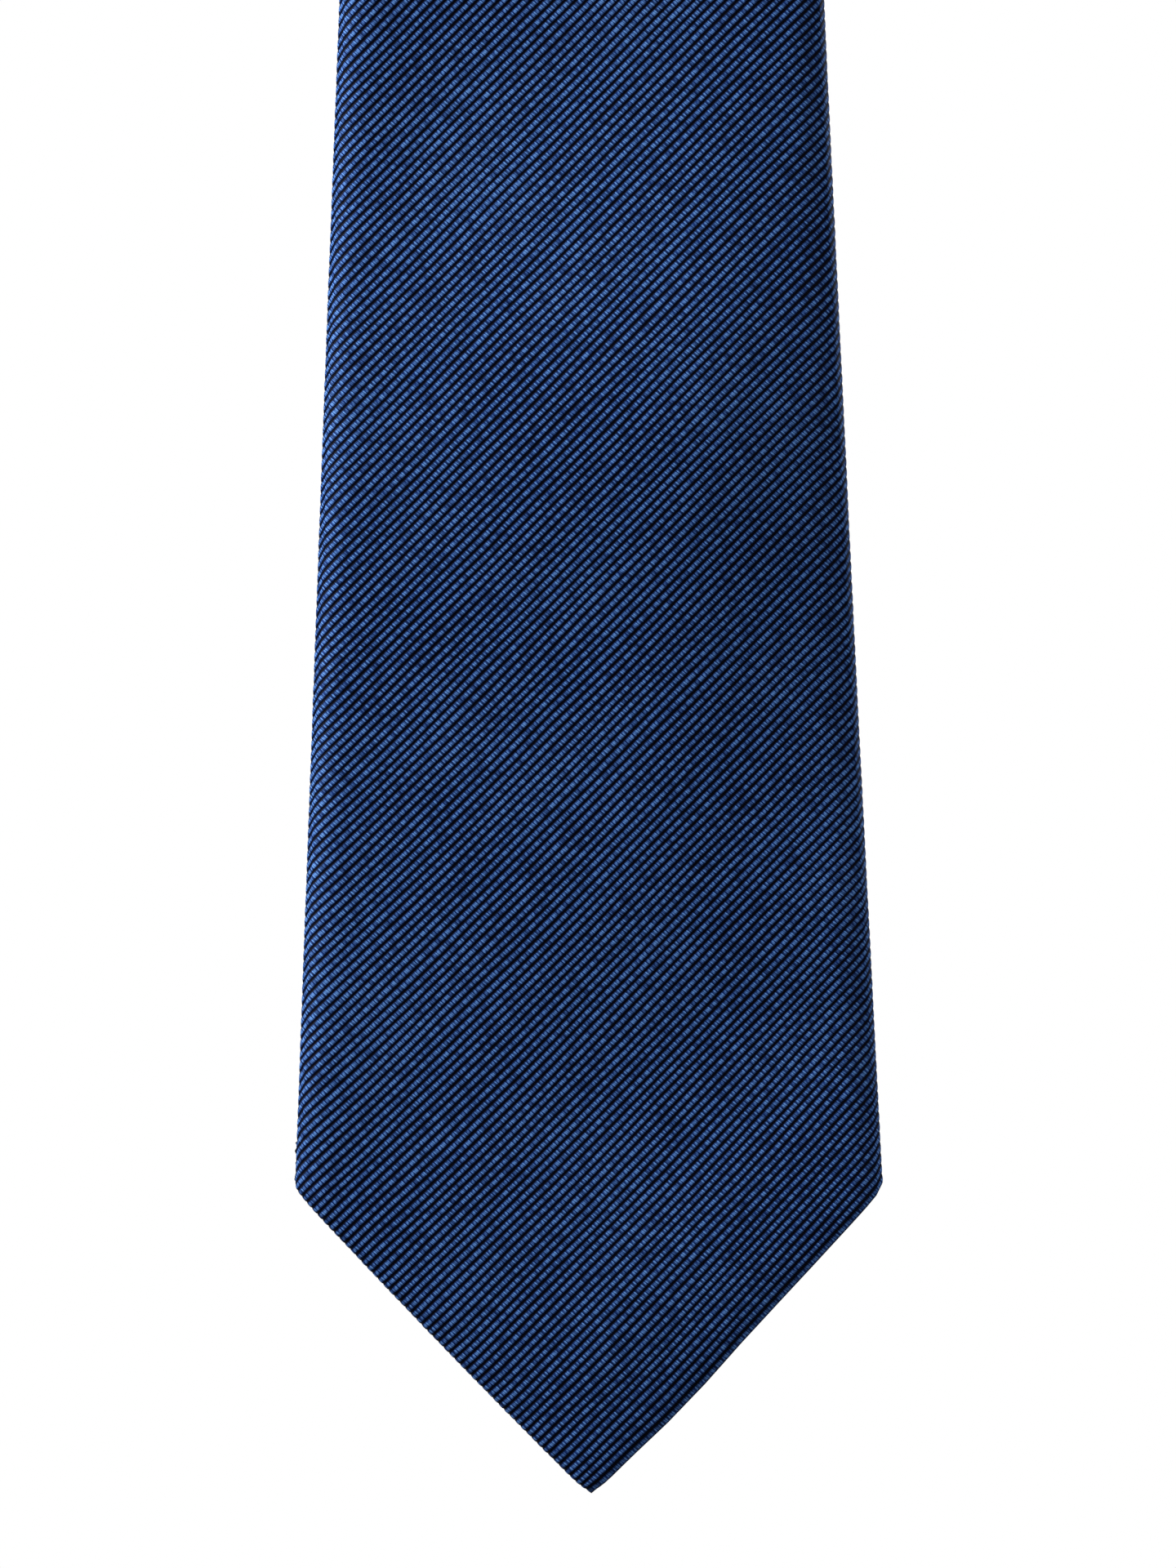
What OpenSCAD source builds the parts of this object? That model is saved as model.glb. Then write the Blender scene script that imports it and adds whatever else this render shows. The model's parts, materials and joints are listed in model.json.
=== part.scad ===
// Necktie hung over a round bar.
// A silk tube is folded round an interlining and closed up its back with a slip
// stitch. The cloth is split into rigid lengths that hinge where it bends: at the
// two neck seams and a little above the point of each end.
// The origin is the axis of the bar and +Z is up. The wide blade hangs on the -Y
// side with its face towards -Y, and the tail hangs on the +Y side, face to +Y.

/* [Wide blade] */
// Width across the shoulders of the point
blade_w = 80; // [70:1:90]
// Height of the shoulders above the tip
blade_point = 41.7; // [38:0.1:46]
// Length of the blade, from its tip to its neck seam
blade_len = 576; // [500:1:640]
// Height of the blade's bend line above its tip
blade_bend = 125; // [110:1:150]
// Width of the hem turned over the back along the point
blade_hem = 9; // [7:0.5:11]

/* [Tail] */
// Width across the shoulders of the tail's point
tail_w = 45; // [42:1:50]
// Height of the tail's shoulders above its tip
tail_point = 22.5; // [20:0.1:26]
// Length of the tail, from its tip to its neck seam
tail_len = 515; // [460:1:560]
// Height of the tail's bend line above its tip
tail_bend = 75; // [66:1:90]
// Width of the tail's hem along its point
tail_hem = 7; // [5:0.5:8]

/* [Hanging] */
// Radius of the bar that the neck lies over
bar_r = 6; // [5:0.5:8]
// Drop of the blade's tip below the bar's axis
blade_drop = 840; // [800:1:900]
// Drop of the tail's tip below the bar's axis
tail_drop = 615; // [590:1:625]

/* [Neck] */
// Width of the neck piece
neck_w = 34; // [30:1:38]
// Bevel along the sides of the neck piece
neck_bevel = 1.2; // [0.8:0.1:1.6]

/* [Cloth] */
// Thickness of the folded tie
thick = 4.4; // [4:0.1:5]
// Thickness of the silk
silk_t = 0.6; // [0.4:0.1:0.7]
// Thickness of the interlining
core_t = 2; // [1.6:0.1:2]
// Thickness of the tipping, which lines the back of each point
tipping_t = 0.3; // [0.2:0.1:0.4]
// Thickness of the sewing thread
thread_t = 0.4; // [0.3:0.05:0.5]

/* [Keeper loop] */
// Height of the keeper's middle above the blade's tip
keeper_s = 211; // [200:1:220]
// Height of the keeper strap
keeper_h = 12; // [10:1:16]
// Thickness of the keeper strap
keeper_t = 1; // [0.8:0.1:1.2]
// Half the width of the space inside the keeper
keeper_half = 23; // [21:0.5:24]
// Height of the space inside the keeper
keeper_rise = 5.4; // [5:0.1:6]

/* [Labels] */
// Width of the plain woven label
label_w = 44; // [36:1:48]
// Height of the plain woven label
label_h = 22; // [18:1:26]
// Thickness of either label
label_t = 0.4; // [0.3:0.1:0.5]
// Height of the label's lower edge above the blade's tip
label_s = 234; // [230:1:260]
// Width of the small blank care label
care_w = 14; // [10:1:18]
// Height of the small blank care label
care_h = 20; // [14:1:26]
// Height of the care label's lower edge above the tail's tip
care_s = 160; // [120:1:220]

/* [Hidden] */

navy = "#24385f";
lining_navy = "#1c2948";
thread_navy = "#31456f";
wool = "#d9d3c4";
label_grey = "#3a4258";
care_white = "#eceae4";

edge_r = thick / 2;              // radius of the rolled edges and of the hinge ends
mid_y = bar_r + edge_r;          // distance of each leg's middle plane from the bar's axis
hinge_gap = edge_r + 0.3;        // how far past a hinge line the upper length stops
slit = 0.8;                      // width of the back seam between the two folded edges
play = 0.1;                      // room between layers that lie on each other
inside_y = edge_r - silk_t;      // inner face of the silk, measured from the middle plane
core_y = inside_y - thread_t - 2 * play;    // face side of the interlining
tip_spread = sqrt(2);            // distance of a rounded corner's centre from its point, in radii
shoulder_lift = 0.41;            // the same for the blunt corner of a shoulder, measured upwards
facets = 24;

// A leg is [width at the shoulders, height of the shoulders, length, bend height, hem width].
BLADE = [blade_w, blade_point, blade_len, blade_bend, blade_hem];
TAIL = [tail_w, tail_point, tail_len, tail_bend, tail_hem];

// Half of a leg's width at height s above its tip, from the shoulders up
function half_w(leg, s) = (leg[0] - (leg[0] - neck_w) * (s - leg[1]) / (leg[2] - leg[1])) / 2;

// Corner centres of the pointed length, as [half width, height], for a rim of radius edge_r
function end_rows(leg) = [
    [0, edge_r * tip_spread],
    [leg[0] / 2 - edge_r, leg[1] + edge_r * shoulder_lift],
    [half_w(leg, leg[3]) - edge_r, leg[3]]
];

// Corner centres of the long length; it starts below the bend line and is cut off there
function long_rows(leg) = [
    [half_w(leg, leg[3] - thick) - edge_r, leg[3] - thick],
    [half_w(leg, leg[2]) - edge_r, leg[2]]
];

// Outline of the point, inset by rim, as far up as height top
function point_outline(leg, rim, top) = [
    [0, rim * tip_spread],
    [leg[0] / 2 - rim, leg[1] + rim * shoulder_lift],
    [half_w(leg, top) - rim, top],
    [rim - half_w(leg, top), top],
    [rim - leg[0] / 2, leg[1] + rim * shoulder_lift]
];

// Corners of the open diamond on the back: hem below, edges of the two back panels above
function diamond(leg) =
    let (low = leg[4] * tip_spread, high = leg[0] / 2 + leg[1], mid = (high - low) / 2)
    [[0, low], [mid, low + mid], [0, high], [-mid, low + mid]];

// Places a leg drawn in its own frame: height above the tip along Z, face towards -Y
module on_blade() { translate([0, -mid_y, -blade_drop]) children(); }
module on_tail() { translate([0, mid_y, -tail_drop]) mirror([0, 1, 0]) children(); }

// A flat outline drawn in X and Z, thickened from y0 to y1
module plate(y0, y1) {
    translate([0, y1, 0]) rotate([90, 0, 0]) linear_extrude(y1 - y0) children();
}

// A flat solid with a round rim of radius r through the given corner centres
module pillow(rows, r) {
    hull()
        for (row = rows, side = [-1, 1])
            translate([side * row[0], 0, row[1]]) sphere(r, $fn = facets);
}

// Silk of the pointed length, open at the diamond and slit up the back seam
module end_silk(leg) {
    top = leg[3] + thick;
    difference() {
        pillow(end_rows(leg), edge_r);
        pillow(end_rows(leg), inside_y);
        plate(0, thick) polygon(diamond(leg));
        plate(0, thick)
            translate([-slit / 2, leg[1] + leg[0] / 2 - slit]) square([slit, top]);
    }
}

// Silk of the long length, from just above its bend line to the neck seam
module long_silk(leg) {
    start = leg[3] + hinge_gap;
    difference() {
        pillow(long_rows(leg), edge_r);
        pillow(long_rows(leg), inside_y);
        translate([-leg[0], -thick, 0]) cube([2 * leg[0], 2 * thick, start]);
        plate(0, thick) translate([-slit / 2, 0]) square([slit, leg[2] - thick]);
    }
}

// Interlining of the pointed length
module end_core(leg) {
    plate(-core_y, core_t - core_y)
        polygon(point_outline(leg, thick, leg[3] - play));
}

// Interlining of the long length
module long_core(leg) {
    low = leg[3] + hinge_gap + play;
    high = leg[2] - play;
    rim = edge_r + 2 * play;
    plate(-core_y, core_t - core_y)
        polygon([
            [half_w(leg, low) - rim, low], [half_w(leg, high) - rim, high],
            [rim - half_w(leg, high), high], [rim - half_w(leg, low), low]
        ]);
}

// Lining sheet seen through the diamond, tucked under the hem and the panels
module tipping(leg) {
    tuck = leg[4] / 2;
    low = tuck * tip_spread;
    high = leg[0] / 2 + leg[1] + tuck;
    mid = leg[0] / 2 - edge_r - tuck / 2;
    plate(inside_y - play - tipping_t, inside_y - play)
        polygon([
            [0, low + tuck / 2], [mid, leg[1]], [mid, leg[1] + tuck],
            [0, high], [-mid, leg[1] + tuck], [-mid, leg[1]]
        ]);
}

// One stitch, a short bar of thread lying on the back, turned by angle in the cloth's plane
module stitch(x, s, length, angle = 0) {
    translate([x, edge_r + thread_t / 2 + play / 10, s]) rotate([0, angle, 0])
        cube([length, thread_t, thread_t], center = true);
}

// Stitches across the back seam between two heights
module slip_stitches(from_s, to_s) {
    pitch = 12;
    count = floor((to_s - from_s) / pitch);
    for (i = [0 : count - 1])
        stitch(0, from_s + i * pitch, 3.2, 28);
}

// Stitches along the hem's inner edge, over the edge of the tipping
module hem_stitches(leg) {
    pitch = 5;
    low = leg[4] * tip_spread;
    rise = diamond(leg)[1][0];
    count = floor(rise / pitch) - 1;
    for (i = [1 : count], side = [-1, 1])
        stitch(side * i * pitch, low + i * pitch - 1, 2, side * 45);
}

// Machine stitches of the seam that joins a leg to the neck, inside the fold
module seam_thread(leg) {
    pitch = 2.6;
    room = neck_w / 2 - thick;
    count = floor(room / pitch);
    for (i = [-count : count])
        translate([i * pitch, play + thread_t / 2 - inside_y, leg[2] - thick])
            cube([pitch - 0.8, thread_t, thread_t], center = true);
}

// Bar tack that closes the back seam above the diamond
module bar_tack(leg) {
    rows = 7;
    reach = leg[0] / 2 + leg[1] + 6;
    for (i = [0 : rows - 1])
        stitch(0, reach + (i - (rows - 1) / 2) * 0.45, 9);
}

// Cross-section of the neck piece: radius along X from the bar's axis, width along Y
module neck_section(grow) {
    half = neck_w / 2 + grow;
    near = bar_r - grow;
    far = bar_r + thick + grow;
    bevel = neck_bevel + grow * 0.6;
    polygon([
        [near, bevel - half], [near + bevel, -half], [far - bevel, -half], [far, bevel - half],
        [far, half - bevel], [far - bevel, half], [near + bevel, half], [near, half - bevel]
    ]);
}

// The section carried over the bar and down both sides, to the two stated heights
module saddle(front_end, tail_end) {
    rotate([0, -90, 0]) rotate([0, 0, -90]) rotate_extrude(angle = 180, $fn = 96)
        children();
    translate([0, 0, tail_end]) linear_extrude(-tail_end) rotate([0, 0, 90]) mirror([0, 1])
        children();
    translate([0, 0, front_end]) linear_extrude(-front_end) rotate([0, 0, -90])
        children();
}

front_stop = blade_len - blade_drop + hinge_gap;
tail_stop = tail_len - tail_drop + hinge_gap;

module neck_shell() {
    color(navy)
        difference() {
            saddle(front_stop, tail_stop) neck_section(0);
            saddle(front_stop - 1, tail_stop - 1) neck_section(-silk_t);
        }
}

module neck_interlining() {
    core_half = neck_w / 2 - edge_r;
    near = mid_y + core_y - core_t;
    color(wool)
        saddle(front_stop + play, tail_stop + play)
            translate([near, -core_half]) square([core_t, 2 * core_half]);
}

module front_blade_shell() { color(navy) on_blade() long_silk(BLADE); }
module front_interlining() { color(wool) on_blade() long_core(BLADE); }
module front_end_shell() { color(navy) on_blade() end_silk(BLADE); }
module front_end_interlining() { color(wool) on_blade() end_core(BLADE); }
module front_tipping() { color(lining_navy) on_blade() tipping(BLADE); }
module front_hem_stitches() { color(thread_navy) on_blade() hem_stitches(BLADE); }
module front_bar_tack() { color(thread_navy) on_blade() bar_tack(BLADE); }
module front_seam_thread() { color(thread_navy) on_blade() seam_thread(BLADE); }

module front_slip_stitches() {
    above_keeper = keeper_s + keeper_h;
    above_label = label_s + label_h + 4;
    color(thread_navy)
        on_blade() {
            slip_stitches(blade_bend + thick, keeper_s - keeper_h);
            slip_stitches(above_label, blade_len - thick);
        }
}

module tail_blade_shell() { color(navy) on_tail() long_silk(TAIL); }
module tail_interlining() { color(wool) on_tail() long_core(TAIL); }
module tail_end_shell() { color(navy) on_tail() end_silk(TAIL); }
module tail_end_interlining() { color(wool) on_tail() end_core(TAIL); }
module tail_tipping() { color(lining_navy) on_tail() tipping(TAIL); }
module tail_hem_stitches() { color(thread_navy) on_tail() hem_stitches(TAIL); }
module tail_bar_tack() { color(thread_navy) on_tail() bar_tack(TAIL); }
module tail_seam_thread() { color(thread_navy) on_tail() seam_thread(TAIL); }

module tail_slip_stitches() {
    color(thread_navy)
        on_tail() {
            slip_stitches(tail_bend + thick, care_s - 2);
            slip_stitches(care_s + care_h + 4, tail_len - thick);
        }
}

// Strap across the back that the tail is pushed through, sewn down at its two ends
module keeper_loop() {
    lean = 2;
    tab = 5;
    base = edge_r;
    low = base + keeper_t;
    roof = base + keeper_rise;
    half_outline = [
        [keeper_half + tab, base], [keeper_half + tab, low], [keeper_half + 1, low],
        [keeper_half - lean + 1, roof + keeper_t]
    ];
    inner = [[keeper_half - lean, roof], [keeper_half, base]];
    mirrored = function (points) [
        for (i = [len(points) - 1 : -1 : 0]) [-points[i][0], points[i][1]]
    ];
    color(navy)
        on_blade()
            translate([0, 0, keeper_s - keeper_h / 2]) linear_extrude(keeper_h)
                polygon(concat(half_outline, mirrored(half_outline), mirrored(inner), inner));
}

module keeper_stitches() {
    rows = 4;
    inset = 2.5;
    pitch = (keeper_h - 3) / (rows - 1);
    color(thread_navy)
        on_blade()
            for (i = [0 : rows - 1], side = [-1, 1])
                translate([0, keeper_t, 0])
                    stitch(side * (keeper_half + inset), keeper_s + (i - (rows - 1) / 2) * pitch,
                           2, 90);
}

// Plain woven label with nothing on it
module blank_label() {
    color(label_grey)
        on_blade()
            plate(edge_r, edge_r + label_t)
                translate([-label_w / 2, label_s]) square([label_w, label_h]);
}

module label_stitches() {
    rows = 6;
    pitch = (label_h - 2) / rows;
    color(thread_navy)
        on_blade()
            for (i = [0 : rows - 1], side = [-1, 1])
                translate([0, label_t, 0])
                    stitch(side * (label_w / 2 - 1), label_s + 1 + (i + 0.5) * pitch, 2, 90);
}

// Small blank tag caught in the tail's back seam
module care_label() {
    color(care_white)
        on_tail()
            plate(edge_r, edge_r + label_t)
                translate([-care_w / 2, care_s]) square([care_w, care_h]);
}

neck_shell();
neck_interlining();
front_blade_shell();
front_interlining();
front_slip_stitches();
front_seam_thread();
keeper_loop();
keeper_stitches();
blank_label();
label_stitches();
front_end_shell();
front_end_interlining();
front_tipping();
front_hem_stitches();
front_bar_tack();
tail_blade_shell();
tail_interlining();
tail_slip_stitches();
tail_seam_thread();
care_label();
tail_end_shell();
tail_end_interlining();
tail_tipping();
tail_hem_stitches();
tail_bar_tack();
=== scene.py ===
"""Looks of a necktie that hangs over a bar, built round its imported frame.

The tie is one tube of bias-cut ribbed silk, folded round a wool interlining. Every soft
piece is a surface in the tie's own folded coordinates: x across the tie, n through its
thickness (towards the back, where the seam is) and l along it, from the wide tip over the
bar to the tail's tip. Hang.place carries those coordinates to the row frame.
"""

from __future__ import annotations

import json
import logging
import math
from dataclasses import dataclass, field
from enum import Enum
from typing import ClassVar, Sequence

import bpy
import numpy as np
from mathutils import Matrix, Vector


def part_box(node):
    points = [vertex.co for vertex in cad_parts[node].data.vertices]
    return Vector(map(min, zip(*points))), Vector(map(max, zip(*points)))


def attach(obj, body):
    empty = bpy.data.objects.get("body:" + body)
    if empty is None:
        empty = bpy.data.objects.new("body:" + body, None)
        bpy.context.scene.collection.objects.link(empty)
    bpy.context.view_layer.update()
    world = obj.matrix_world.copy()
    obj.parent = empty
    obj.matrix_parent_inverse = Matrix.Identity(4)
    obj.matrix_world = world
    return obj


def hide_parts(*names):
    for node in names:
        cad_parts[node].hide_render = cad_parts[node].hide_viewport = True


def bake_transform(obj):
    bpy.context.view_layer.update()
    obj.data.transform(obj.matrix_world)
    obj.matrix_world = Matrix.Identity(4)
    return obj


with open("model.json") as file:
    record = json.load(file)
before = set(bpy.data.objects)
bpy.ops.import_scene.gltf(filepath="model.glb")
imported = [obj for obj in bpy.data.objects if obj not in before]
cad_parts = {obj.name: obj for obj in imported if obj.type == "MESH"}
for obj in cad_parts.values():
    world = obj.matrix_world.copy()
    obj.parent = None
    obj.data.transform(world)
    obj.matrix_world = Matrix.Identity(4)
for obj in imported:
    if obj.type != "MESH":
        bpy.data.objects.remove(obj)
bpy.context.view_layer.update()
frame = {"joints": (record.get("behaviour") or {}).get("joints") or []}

log = logging.getLogger("necktie")
MM = 0.001
HALF_DIAGONAL = math.sqrt(0.5)
MERGE = 2e-7
UV_NAME = "Cloth"
Array = np.ndarray


# ---------------------------------------------------------------- shape functions


def smooth(t: Array) -> Array:
    """Smooth step: 3 t^2 - 2 t^3 with t held between 0 and 1."""
    t = np.clip(t, 0.0, 1.0)
    return t * t * (3.0 - 2.0 * t)


def soft_above(t: Array, soft: float) -> Array:
    """t where it is above 0 and 0 below, rounded over soft: (t + sqrt(t^2 + soft^2)) / 2."""
    return (t + np.hypot(t, soft)) / 2


def quarter_round(distance: Array, radius: float) -> Array:
    """Height of a quarter circle of the given radius, 0 at its rim and 1 from radius inwards."""
    t = 1.0 - np.clip(distance / radius, 0.0, 1.0)
    return np.sqrt(np.maximum(1.0 - t * t, 0.0))


class SoftNoise:
    """Value noise: random numbers on a square lattice, joined by smooth steps."""

    SIZE = 64

    def __init__(self, seed: int) -> None:
        """Fills the lattice from a fixed seed, so that every run gives the same cloth."""
        self.table = np.random.default_rng(seed).random((self.SIZE, self.SIZE)) * 2.0 - 1.0

    def __call__(self, x: Array, y: Array) -> Array:
        """Noise from -1 to 1 at lattice coordinates x and y.

        Args:
            x: first coordinate, in lattice cells.
            y: second coordinate, in lattice cells.

        Returns:
            The noise at each point.
        """
        x, y = np.broadcast_arrays(np.asarray(x, float), np.asarray(y, float))
        i, j = np.floor(x).astype(int), np.floor(y).astype(int)
        fx, fy = smooth(x - i), smooth(y - j)
        i0, j0 = i % self.SIZE, j % self.SIZE
        i1, j1 = (i + 1) % self.SIZE, (j + 1) % self.SIZE
        near = self.table[i0, j0] * (1 - fx) + self.table[i1, j0] * fx
        far = self.table[i0, j1] * (1 - fx) + self.table[i1, j1] * fx
        return near * (1 - fy) + far * fy


@dataclass(frozen=True)
class Patch:
    """A grid of points, rows by columns by 3, with a texture coordinate for each point."""

    points: Array
    uv: Array


def make_mesh(name: str, patches: Sequence[Patch]) -> bpy.types.Object:
    """Joins grids into one mesh object; points that fall together become one vertex.

    Args:
        name: the piece's name.
        patches: grids whose faces turn outwards when columns run right and rows run up.

    Returns:
        The new object, linked to the scene, with smooth faces.
    """
    points, uvs, quads, start = [], [], [], 0
    for patch in patches:
        rows, cols = patch.points.shape[:2]
        index = np.arange(rows * cols).reshape(rows, cols) + start
        quads.append(
            np.stack([index[:-1, :-1], index[:-1, 1:], index[1:, 1:], index[1:, :-1]], -1)
            .reshape(-1, 4)
        )
        points.append(patch.points.reshape(-1, 3))
        uvs.append(patch.uv.reshape(-1, 2))
        start += rows * cols
    points, uvs, quads = np.concatenate(points), np.concatenate(uvs), np.concatenate(quads)
    keys = np.round(points / MERGE).astype(np.int64)
    _, first, joined = np.unique(keys, axis=0, return_index=True, return_inverse=True)
    joined = joined.reshape(-1)
    corners = joined[quads]
    closed = corners == np.roll(corners, -1, axis=1)
    crossed = (corners[:, 0] == corners[:, 2]) | (corners[:, 1] == corners[:, 3])
    whole = quads[(closed.sum(1) == 0) & ~crossed]
    pinched = (closed.sum(1) == 1) & ~crossed
    keep = (np.argmax(closed[pinched], axis=1)[:, None] + np.array([1, 2, 3])) % 4
    triangles = np.take_along_axis(quads[pinched], keep, axis=1)
    loops = np.concatenate([whole.ravel(), triangles.ravel()])
    sizes = np.concatenate([np.full(len(whole), 4), np.full(len(triangles), 3)])
    mesh = bpy.data.meshes.new(name)
    mesh.vertices.add(len(first))
    mesh.vertices.foreach_set("co", points[first].astype(np.float32).ravel())
    mesh.loops.add(len(loops))
    mesh.loops.foreach_set("vertex_index", joined[loops].astype(np.int32))
    mesh.polygons.add(len(sizes))
    mesh.polygons.foreach_set("loop_start", (np.cumsum(sizes) - sizes).astype(np.int32))
    mesh.update(calc_edges=True)
    layer = mesh.uv_layers.new(name=UV_NAME)
    layer.data.foreach_set("uv", uvs[loops].astype(np.float32).ravel())
    mesh.polygons.foreach_set("use_smooth", np.ones(len(sizes), bool))
    mesh.validate()
    piece = bpy.data.objects.new(name, mesh)
    bpy.context.scene.collection.objects.link(piece)
    return piece


def thicken(piece: bpy.types.Object, thickness: float, offset: float = -1.0) -> None:
    """Gives a cloth surface its thickness, inwards from the surface when offset is -1."""
    wall = piece.modifiers.new("thickness", "SOLIDIFY")
    wall.thickness = thickness
    wall.offset = offset


def flat_area(uv: Array) -> float:
    """Area that a grid covers in its flat coordinates, by the shoelace rule on its quads."""
    a, b, c, d = uv[:-1, :-1], uv[:-1, 1:], uv[1:, 1:], uv[1:, :-1]
    p, q = c - a, d - b
    return float(np.abs(p[..., 0] * q[..., 1] - p[..., 1] * q[..., 0]).sum() / 2.0)


# ---------------------------------------------------------------- the hang of the tie


@dataclass(frozen=True)
class Swell:
    """A soft rounded rise or dip of the cloth, in millimetres, turned by a few degrees."""

    x: float
    l: float
    across: float
    along: float
    rise: float
    turn: float = 0.0

    def height(self, x: Array, l: Array) -> Array:
        """Rise times a bell curve of the turned distance from the swell's middle."""
        c, s = math.cos(math.radians(self.turn)), math.sin(math.radians(self.turn))
        right, up = x - self.x * MM, l - self.l * MM
        p = (right * c + up * s) / (self.across * MM)
        q = (up * c - right * s) / (self.along * MM)
        return self.rise * MM * np.exp(-(p * p + q * q))


class Hang:
    """The tie's line over the bar and its widths, read from the frame."""

    SWELLS = (
        Swell(16, 150, 36, 24, -2.40, 4),
        Swell(-14, 192, 24, 20, 1.00, 18),
        Swell(38, 62, 34, 22, 2.30),
        Swell(21.5, 19.5, 3.0, 26, 0.70, -44),
        Swell(24, 26, 16, 18, -0.50, 30),
        Swell(6, 262, 26, 36, -0.80, -12),
        Swell(-10, 335, 22, 40, 0.60, 10),
        Swell(8, 420, 22, 55, -0.70, -6),
        Swell(-6, 510, 18, 45, 0.45, 12),
        Swell(5, 1120, 18, 50, 0.55, 8),
        Swell(-6, 1215, 18, 46, -0.50, -10),
        Swell(4, 1310, 18, 42, 0.40, 14),
    )
    BLUNT_TIP = Swell(0, 0, 2.2, 1.8, 0.50)
    SAG = Swell(13, 13, 8, 9, 0.60)
    BOW = 0.4 * MM
    CREASE = 0.11
    CREASE_X = 13 * MM
    CREASE_L = 107 * MM
    CREASE_LEAN = 0.1
    CREASE_SOFT = 2.5 * MM
    POINT_STRETCH = 1.1
    STRETCH_FROM = 45 * MM
    STRETCH_RUN = 90 * MM
    LEAN = 1.5 * MM
    FLARE_SOFT = 14 * MM

    def __init__(self) -> None:
        """Reads the hinge places, the bar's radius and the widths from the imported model."""
        joints = {joint["name"]: Vector(joint["pos_m"]) for joint in frame["joints"]}
        front_low, front_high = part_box("front_end_shell")
        tail_low, tail_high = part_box("tail_end_shell")
        neck_low, neck_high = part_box("neck_shell")
        blade_low, blade_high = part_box("front_blade_shell")
        self.half_thick = (blade_high.y - blade_low.y) / 2
        self.radius = abs(joints["front_lift"].y)
        self.blade_half = (front_high.x - front_low.x) / 2
        self.tail_half = (tail_high.x - tail_low.x) / 2
        self.neck_half = (neck_high.x - neck_low.x) / 2
        blunt = self.half_thick * (math.sqrt(2.0) - 1.0)
        self.drop = blunt - front_low.z
        self.tail_drop = blunt - tail_low.z
        self.bend = math.pi * self.radius
        self.length = self.drop + self.bend + self.tail_drop
        self.front_bend = self.drop + joints["front_end_bend"].z
        self.front_seam = self.drop + joints["front_lift"].z
        self.tail_seam = self.length - self.tail_drop - joints["tail_lift"].z
        self.tail_bend = self.length - self.tail_drop - joints["tail_end_bend"].z

    def half_width(self, l: Array) -> Array:
        """Half the width at l: the neck's, plus a straight flare towards each tip."""
        front = soft_above(self.front_seam - l, self.FLARE_SOFT)
        tail = soft_above(l - self.tail_seam, self.FLARE_SOFT)
        front_slope = (self.blade_half - self.neck_half) / (self.front_seam - self.blade_half)
        tail_run = self.length - self.tail_seam - self.tail_half
        tail_slope = (self.tail_half - self.neck_half) / tail_run
        return self.neck_half + front_slope * front + tail_slope * tail

    def bow(self, x: Array, l: Array) -> Array:
        """Bend of the whole section: a shallow arch, and a soft crease beside the right edge.

        The arch is BOW (w / blade_half)^2 (1 - x^2 / w^2) towards the face, with w the half
        width. The crease turns the cloth back by CREASE from a slightly leaning line outwards.
        """
        half = self.half_width(l)
        arch = self.BOW * (half / self.blade_half) ** 2 * (1.0 - (x / half) ** 2)
        past = x - self.CREASE_X - self.CREASE_LEAN * (l - self.CREASE_L)
        turned = self.CREASE * soft_above(past, self.CREASE_SOFT)
        fade = smooth((l - 70 * MM) / (35 * MM)) * (1.0 - smooth((l - 160 * MM) / (90 * MM)))
        return turned * fade - arch

    def place(self, x: Array, n: Array, l: Array) -> Array:
        """Carries folded coordinates to the row frame: down, round the bar and down again.

        Args:
            x: across the tie.
            n: through its thickness, positive towards the back.
            l: along the tie, from the wide tip.

        Returns:
            The points, with a last axis of 3.
        """
        x, n, l = np.broadcast_arrays(x, n, l)
        n = n + sum(swell.height(x, l) for swell in self.SWELLS) + self.bow(x, l)
        near_tip = 1.0 - smooth((l - self.STRETCH_FROM) / self.STRETCH_RUN)
        l = l + self.POINT_STRETCH * near_tip * x * x
        l = l + self.BLUNT_TIP.height(x, l)
        l = l - self.SAG.height(x, l)
        x = x - self.LEAN * np.sin(math.pi * np.clip(l / self.front_seam, 0.0, 1.0))
        turn = np.clip((l - self.drop) / self.radius, 0.0, math.pi)
        reach = self.radius - n
        below = np.maximum(self.drop - l, 0.0) + np.maximum(l - self.drop - self.bend, 0.0)
        return np.stack([x, -reach * np.cos(turn), reach * np.sin(turn) - below], -1)


# ---------------------------------------------------------------- the folded silk


@dataclass(frozen=True)
class Cloth:
    """Sizes of the ribbed silk and of the way it is folded."""

    thickness: float = 0.42 * MM
    ribs: int = 999
    rib_height: float = 0.11 * MM
    wander: float = 0.13 * MM
    roll_across: float = 4.7 * MM
    point_roll: float = 1.1 * MM
    hem: float = 9.0 * MM
    panel_hem_share: float = 0.35
    hem_lift: float = 1.35 * MM
    overlap: float = 1.0 * MM
    underlap: float = 3.2 * MM
    turn_in: float = 2.6 * MM
    crown: float = 0.45 * MM
    back_crown: float = 0.27 * MM
    seam_depth: float = 0.22 * MM
    seam_ridge: float = 0.12 * MM
    point_thin: float = 0.30
    point_run: float = 16 * MM
    lap_thin: float = 0.24
    lap_run: float = 12 * MM
    tuck_depth: float = 0.55 * MM


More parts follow.
